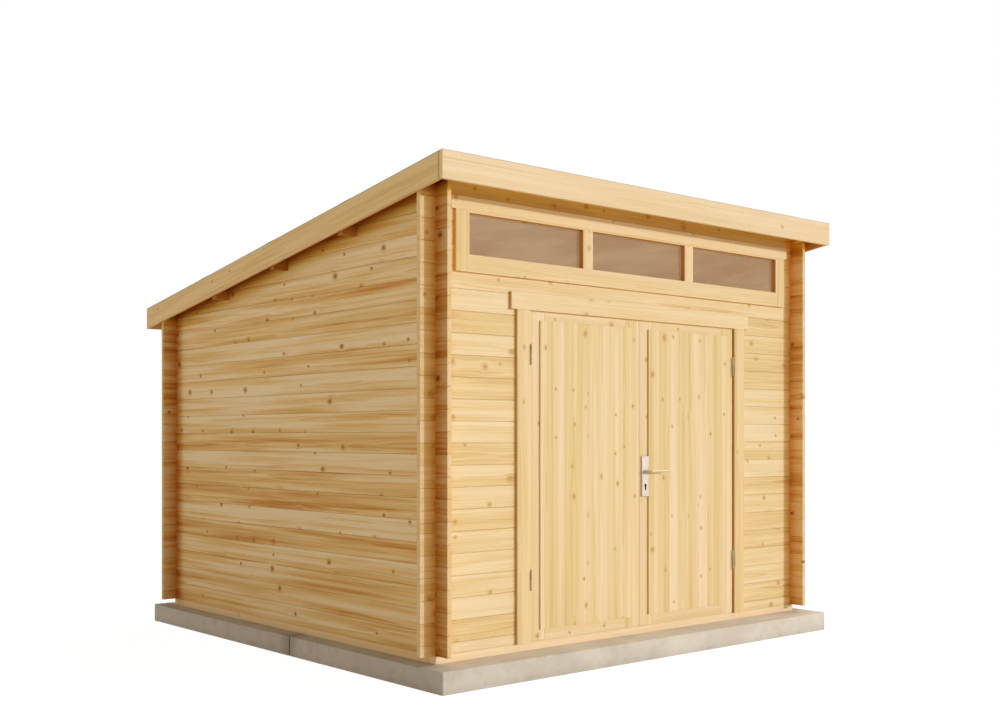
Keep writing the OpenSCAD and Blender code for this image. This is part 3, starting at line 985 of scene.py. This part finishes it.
def lock_plate(work, face, into):
    """A plate with softened edges and a keyhole sunk in it: rings run up the outside, over the face to the
    keyhole's edge at the same angles, and down its sides."""
    corner = LOW["lock_plates"][[0, 2]]
    size = HIGH["lock_plates"][[0, 2]] - corner
    hole = np.array([LEVER_X, LEVER_Z - KEYHOLE_DROP])
    plan = rounded(*size, 0.003)
    outline = np.linspace(plan, np.roll(plan, -1, 0), 9, endpoint=False, axis=1).reshape(-1, 2) + corner
    angle = np.arctan2(*(outline - hole).T[::-1])
    eye = hole + keyhole_reach(angle)[:, None] * np.stack([np.cos(angle), np.sin(angle)], -1)
    middle = corner + size / 2
    drawn = middle + (outline - middle) * (1 - PLATE_EASE / (size / 2))
    thick, way = abs(face - into), np.sign(face - into)
    floor = face - way * (thick - 0.002)
    layers = [(outline, into), (outline, face - way * PLATE_EASE), (drawn, face), (eye, face), (eye, floor)]
    work.add(np.array([np.insert(flat, 1, depth, axis=1) for flat, depth in layers]))


def lock_furniture():
    """Both lock plates with two screws each."""
    work = Work()
    low, high = corners("lock_plates")
    head = [(-0.001, 0.0040), (0.0001, 0.0040), (0.0006, 0.0030), (0.0007, 0.0008)]
    for face, into in ((low[1] + 0.0008, LEAF_FACE), (high[1] - 0.0008, LEAF_BACK)):
        lock_plate(work, face, into)
        for level in (low[2] + 0.014, high[2] - 0.014):
            work.turn((LEVER_X, face, level), np.sign(face - into) * Y, head, 16)
    return work.piece("lock_furniture")


def handle(work, root, way):
    """A lever handle: an oval carried out of the plate, round a quarter bend and along to a slimmer rounded
    tip. Each ring is the path's place, plus the oval's half width times a cosine square to the path, plus
    its half height times a sine upwards."""
    out = abs((LOW["lever"][1] if way < 0 else HIGH["lever"][1]) - root) - GRIP_T / 2
    bend, tip = 0.014, 0.007
    reach = HIGH["lever"][0] - LEVER_X
    turn = np.linspace(0, math.pi / 2, 8)
    straight = np.linspace(0, 1, 8)[1:-1] ** 0.8
    end = np.linspace(0, math.pi / 2, 6)
    after = len(straight) + len(end)
    run_x = np.concatenate([
        [0, 0], bend * (1 - np.cos(turn)), bend + (reach - bend - tip) * straight,
        reach - tip + tip * np.sin(end),
    ])
    run_y = np.concatenate([[0, 0.004], out - bend + bend * np.sin(turn), np.full(after, out)])
    heading = np.concatenate([[0, 0], turn, np.full(after, math.pi / 2)])
    slim = np.concatenate([
        np.full(2, 0.8), np.linspace(0.8, 0.6, len(turn)), np.linspace(0.59, 0.5, len(straight)),
        0.5 * np.maximum(np.cos(end), 0.06),
    ])
    flat = np.interp(heading, [0, math.pi / 2], [LEVER_R, GRIP_T / 2 / 0.8])
    angle = np.linspace(0, 2 * math.pi, 28, endpoint=False)
    sideways = (flat * slim)[:, None] * np.cos(angle)
    upwards = (LEVER_R * slim)[:, None] * np.sin(angle)
    x = LEVER_X + run_x[:, None] + sideways * np.cos(heading)[:, None]
    y = root + way * (run_y[:, None] - sideways * np.sin(heading)[:, None])
    work.add(np.stack([x, y, LEVER_Z + upwards], -1))
    collar = [(0, 0.0088), (0.0035, 0.0088), (0.0042, 0.0080)]
    work.turn((LEVER_X, root, LEVER_Z), way * Y, collar, 28)


def lever_handles():
    """Both handles, and the spindle between them."""
    work = Work()
    low, high = LOW["lock_plates"][1], HIGH["lock_plates"][1]
    handle(work, low - 0.0002, -1)
    handle(work, high + 0.0002, 1)
    spindle = [(0, 0.0044), (high - low + 0.002, 0.0044)]
    work.turn((LEVER_X, low - 0.001, LEVER_Z), Y, spindle, 16)
    return work.piece("lever_handles")


# Roof

PURLIN_W, PURLIN_H, PURLINS = 0.045, 0.140, 3
DECK_BOARDS = 36
STRIP_H = 0.032
FELT_SHEETS = 4
FELT_LAP, FELT_RISE = 0.09, 0.02
FELT_LAYER, FELT_WAVE = 0.0013, 0.00012
NAIL_STEP = 0.12


def purlin_timber():
    """Purlins under the roof boards, their upper edges cut to the roof's fall."""
    timber = Timber(61)
    low, high = corners("purlins")
    for middle in np.linspace(low[1] + PURLIN_W / 2, high[1] - PURLIN_W / 2, PURLINS):
        rise = SLOPE * PURLIN_W / 2
        start = (low[0], middle - PURLIN_W / 2, wall_top(middle) - PURLIN_H)
        outline = rounded(PURLIN_H + rise, PURLIN_W, 0.002)
        timber.board(outline, start, Z, Y, X, high[0] - low[0], cut=wall_top)
    return timber.piece("purlin_timber")


def roof_boards():
    """Matched boards side by side down the roof, their V joints to the room."""
    timber = Timber(62)
    low, high = corners("roof_deck")
    width = (high[0] - low[0]) / DECK_BOARDS
    outline = match_board(width, deck_top(0) - under_deck(0), 0.004)
    for place in low[0] + width * np.arange(DECK_BOARDS):
        timber.board(outline, (place, low[1], under_deck(low[1])), X, Z, DOWN_ROOF, high[1] - low[1])
    return timber.piece("roof_matched_boards")


def eave_timber(node, face, into, seed):
    """An edge board across the front or back: a deep board with a narrow strip over it, cut to the roof's
    fall."""
    timber = Timber(seed)
    low, high = corners(node)
    thick = high[1] - low[1]
    split = deck_top(high[1]) - STRIP_H
    for bottom, top in ((low[2], split), (split, high[2] + 0.002)):
        outline = rounded(top - bottom, thick, EASE)
        timber.board(outline, (low[0], face, bottom), Z, into * Y, X, high[0] - low[0], cut=deck_top)
    return timber.piece(f"{node}_timber")


def verge_timber(node, seed):
    """An edge board down one side of the roof."""
    timber = Timber(seed)
    low, high = corners(node)
    tall = deck_top(high[1]) - low[2]
    start = (low[0], low[1], deck_top(low[1]) - tall)
    timber.board(rounded(tall, high[0] - low[0], EASE), start, Z, X, DOWN_ROOF, high[1] - low[1])
    return timber.piece(f"{node}_timber")


def felt_sheets():
    """Felt in sheets across the roof, each lapped over the one below it: a sheet's section rises by one
    layer over its lap, and its height waves a little along its length."""
    work = Work()
    draw = np.random.default_rng(71)
    low, high = ROOF_LOW, ROOF_HIGH
    cover = (high[1] - low[1] - FELT_LAP) / FELT_SHEETS
    along = np.linspace(low[0], high[0], 41)[:, None]
    for sheet in range(FELT_SHEETS):
        start = low[1] + cover * sheet
        end = start + cover + FELT_LAP
        lap = end - FELT_LAP
        run = np.concatenate([np.linspace(start, lap - FELT_RISE, 12), np.linspace(lap, end, 5)])
        lifted = FELT_LAYER * np.clip((run - (lap - FELT_RISE)) / FELT_RISE, 0, 1) * (sheet < FELT_SHEETS - 1)
        wave = FELT_WAVE * np.sin(along * draw.uniform(4, 7) + run * draw.uniform(3, 5) + draw.uniform(0, 6))
        inside = (run > low[1] + 0.02) & (run < high[1] - 0.02)
        lower = deck_top(run) + SEAT + lifted + (wave + FELT_WAVE) * inside
        across, down = np.broadcast_arrays(along, run)
        under, over = (np.stack([across, down, level], -1) for level in (lower, lower + FELT_LAYER))
        work.add(np.concatenate([under, over[:, ::-1]], 1))
    return work.piece("felt_sheets")


def clout_nails():
    """Flat round nail heads along the felt's four edges."""
    work = Work()
    low, high = ROOF_LOW, ROOF_HIGH
    edge = 0.013
    head = [(0, 0.0045), (0.0004, 0.0045), (0.0009, 0.0030), (0.0010, 0.0008)]
    across = np.arange(low[0] + 0.05, high[0] - 0.04, NAIL_STEP)
    down = np.arange(low[1] + 0.06, high[1] - 0.05, NAIL_STEP)
    places = [(x, y) for x in across for y in (low[1] + edge, high[1] - edge)]
    places += [(x, y) for y in down for x in (low[0] + 0.009, high[0] - 0.009)]
    for x, y in places:
        work.turn((x, y, deck_top(y) + SEAT + FELT_LAYER), Z, head, 8)
    return work.piece("clout_nails")


# The finishes

FRONT_BOARDS = spruce(
    "spruce_front_boards", (249, 224, 180), (237, 206, 146), (208, 158, 94), knotty=0.4,
    knot_core=(206, 158, 80), knot_share=0.9, tone_spread=0.6, streaky=0.5, banded=0.6, eave_reach=0.24)
SIDE_BOARDS = spruce(
    "spruce_side_boards", (250, 227, 188), (238, 199, 134), (208, 143, 66), knotty=0.26,
    knot_core=(170, 108, 40), knot_share=1.15, tone_spread=1.0, streaky=0.6, banded=1.15, wide=(0.7, 22),
    eave_reach=0.215, eave_full=0.105)
CASINGS = dict(
    pale=(249, 221, 175), warm=(238, 206, 148), deep_tone=(216, 170, 104), knotty=0.25,
    knot_core=(212, 168, 100), knot_share=0.8, tone_spread=0.5, streaky=0.4, banded=0.5, corner_share=0,
    eave_reach=0.02)
WINDOW_TRIM = spruce("spruce_window_casings", recess=(WINDOW_HALF, WINDOW_CASING_EDGE_SHADE), **CASINGS)
DOOR_TRIM = spruce("spruce_door_casings", recess=(HIGH["door_posts"][0], DOOR_CASING_EDGE_SHADE), **CASINGS)
ROOF_EDGE = spruce(
    "spruce_roof_edge", (250, 224, 186), (240, 209, 161), (220, 176, 114), knotty=0.25,
    knot_core=(190, 136, 76), knot_share=0.6, tone_spread=0.4, streaky=0.4, banded=0.5)
VERGE = spruce(
    "spruce_verge_boards", (243, 213, 160), (230, 192, 132), (204, 152, 90), knotty=0.2, tone_spread=0.4,
    streaky=0.7, banded=0.8, verge_face=LOW["verge_board_right"][0])
DOOR = spruce(
    "spruce_door", (249, 222, 180), (236, 206, 146), (216, 179, 108), knotty=0.34,
    knot_core=(196, 150, 72), knot_share=0.8, tone_spread=0.35, streaky=0.45, banded=0.85, fine=(0.5, 42),
    wide=(0.35, 13))
BEARER = spruce(
    "spruce_bearers", (252, 224, 182), (244, 210, 160), (226, 182, 126), knotty=0.15,
    knot_core=(196, 146, 84), knot_share=0.5, tone_spread=0.6, streaky=0.4, banded=0.4)
ROOF = spruce(
    "spruce_roof_boards", (246, 218, 170), (230, 192, 130), (196, 138, 74), knotty=0.4,
    knot_core=(140, 80, 36), knot_share=0.9, eave_reach=0.34, verge_reach=0.30)
CONCRETE = cast_concrete()
FELT = roofing_felt()
ZINC = brushed_steel("zinc_plated_steel_dull", (240, 227, 206), (214, 200, 178), 0.15, 0.55, (300, 300, 20))
PLATE = brushed_steel("lock_steel_brushed", (222, 208, 192), (184, 170, 154), 0.25, 0.42, (420, 420, 22),
                      corners("lock_plates"))
LEVER = brushed_steel("lever_steel_satin", (232, 216, 182), (208, 190, 156), 0.2, 0.45, (22, 420, 420))
GLASS = painted_glow_glass()

# The pieces

fit(concrete_bays(), CONCRETE, "concrete_base")
for node, along, seed, splices in (
    ("bearer_front", 0, 11, []), ("bearer_back", 0, 12, []),
    ("bearer_left", 1, 13, [SPLICE]), ("bearer_right", 1, 14, [SPLICE]),
):
    fit(bearer(node, along, seed, splices), BEARER, node)

fit(side_wall("left_wall", LOW["left_wall"][0], 1, 21), SIDE_BOARDS, "left_wall")
fit(side_wall("right_wall", HIGH["right_wall"][0], -1, 22), SIDE_BOARDS, "right_wall")
back_top = wall_top(BACK - WALL_T)
back_boards = long_wall("back_wall_boards", 23, BACK, -1, [span("back_wall")], BEARER_TOP, back_top, wall_top)
fit(back_boards, SIDE_BOARDS, "back_wall")
front_wall("front_wall_left", 407, bottom=BEARER_TOP)
front_wall("front_wall_right", 427, bottom=BEARER_TOP)
front_wall("front_wall_over_door", 26, kind="board")
left_end, right_end = span("front_wall_window_ends")
front_wall("front_wall_window_ends", 27, [(left_end, -HOLE_HALF), (HOLE_HALF, right_end)])
front_wall("front_wall_top", 28, top=wall_top(FRONT), cut=wall_top)

fit(window_head(), WINDOW_TRIM, "window_head_board")
fit(window_sill(), WINDOW_TRIM, "window_sill_board")
fit(window_posts(), WINDOW_TRIM, "window_side_posts")
fit(window_bars(), WINDOW_TRIM, "window_mullions")
fit(window_panes(), GLASS, "window_glass")
add_on(glazing_beads(), DOOR, "root")

fit(door_post_timber(), DOOR_TRIM, "door_posts")
fit(door_head_timber(), DOOR_TRIM, "door_head")
fit(door_stop_timber(), DOOR, "door_stops")
for side, sign, seed in (("left", -1, 326), ("right", 1, 54)):
    stiles, rails = leaf_frame(side, seed)
    fit(stiles, DOOR, f"{side}_door_stiles")
    fit(rails, DOOR, f"{side}_door_rails")
    fit(leaf_boards(side, seed + 2), DOOR, f"{side}_door_boards")
    fit(leaf_hinges(side, sign), ZINC, f"{side}_door_hinges")
add_on(meeting_strip(), DOOR, "left_door")
fit(frame_hinges(), ZINC, "hinge_pins")
fit(lock_furniture(), PLATE, "lock_plates")
fit(lever_handles(), LEVER, "lever")

fit(purlin_timber(), ROOF, "purlins")
fit(roof_boards(), ROOF, "roof_deck")
fit(eave_timber("eave_board_front", LOW["eave_board_front"][1], 1, 63), ROOF_EDGE, "eave_board_front")
fit(eave_timber("eave_board_back", HIGH["eave_board_back"][1], -1, 64), ROOF_EDGE, "eave_board_back")
fit(verge_timber("verge_board_left", 65), VERGE, "verge_board_left")
fit(verge_timber("verge_board_right", 66), VERGE, "verge_board_right")
fit(felt_sheets(), FELT, "roof_felt")
add_on(clout_nails(), ZINC, "root")

# Floor, light and camera

SUN = ("sun", (-0.745, 1.0, -0.25), (0.328, 0.346, 0.420), 1.5)
BOUNCE = ("bounce", (-0.3, 1.0, -0.08), (0.225, 0.245, 0.21), 40)
FILL = ("fill", (1.0, -0.85, -0.10), (0.20, 0.186, 0.162), 50)
OVERHEAD = ("overhead", (-0.8, 0.0, -1.0), (0.29, 0.28, 0.27), 50)
SKY = (0.27, 0.25, 0.20)
CAMERA_AT = (-5.2853, -6.4030, 1.2728)
CAMERA_TURN = -40.53
LENS, LENS_SHIFT = 43.98, 0.0821
FLOOR_REACH, FLOOR_LEVEL = 60.0, -0.0005


def white_floor():
    """A wide pale floor. Seen by the camera it glows to white and keeps a light shadow; to other rays it is
    plain white matt."""
    floor = Finish("studio_floor")
    seen = floor.node("ShaderNodeLightPath", {}, {}, "Is Camera Ray")
    glow = floor.node("ShaderNodeEmission", {}, {"Color": (1, 1, 1, 1), "Strength": seen * 0.94})
    tone = floor.mix(seen, colour(240, 232, 218), colour(122, 122, 122))
    matt = floor.node("ShaderNodeBsdfDiffuse", {}, {"Color": tone})
    both = floor.node("ShaderNodeAddShader", {}, {0: glow, 1: matt})
    floor.node("ShaderNodeOutputMaterial", {}, {0: both})
    square = np.array([(-1, -1), (1, -1), (1, 1), (-1, 1)]) * FLOOR_REACH
    mesh = bpy.data.meshes.new("studio_floor")
    mesh.from_pydata([(x, y, FLOOR_LEVEL) for x, y in square], [], [(0, 1, 2, 3)])
    mesh.materials.append(floor.material)
    placed("studio_floor", mesh)


def sky_light():
    """An even warm fill. Where the camera, glass or gloss sees it, it is white."""
    world = bpy.data.worlds.new("studio")
    bpy.context.scene.world = world
    sky = Finish("studio", world)
    path = sky.node("ShaderNodeLightPath", {}, {}, "Is Camera Ray")
    seen = path.most(path.other("Is Glossy Ray")).most(path.other("Is Transmission Ray"))
    tone = sky.mix(seen, (*SKY, 1.0), (1.0, 1.0, 1.0, 1.0))
    light = sky.node("ShaderNodeBackground", {}, {"Color": tone})
    sky.node("ShaderNodeOutputWorld", {}, {0: light})


def far_lamp(name, way, share, spread):
    """A far lamp that shines one way. The share is the light it gives to the face that looks most towards
    it, so its strength is pi times the share over the way's part square to that face."""
    way = Vector(way).normalized()
    lamp = bpy.data.lights.new(name, "SUN")
    lamp.energy = math.pi / max(abs(part) for part in way[1:])
    lamp.color = share
    lamp.angle = math.radians(spread)
    placed(name, lamp).rotation_euler = way.to_track_quat("-Z", "Y").to_euler()


def add_camera():
    """A level camera at eye height, with its view shifted up."""
    view = bpy.data.cameras.new("view")
    view.lens, view.shift_y, view.clip_end = LENS, LENS_SHIFT, 200.0
    made = placed("view", view)
    made.location = CAMERA_AT
    made.rotation_euler = (math.radians(90), 0, math.radians(CAMERA_TURN))
    bpy.context.scene.camera = made


white_floor()
sky_light()
for lamp in (SUN, BOUNCE, FILL, OVERHEAD):
    far_lamp(*lamp)
add_camera()
bpy.context.scene.view_settings.view_transform = "Standard"
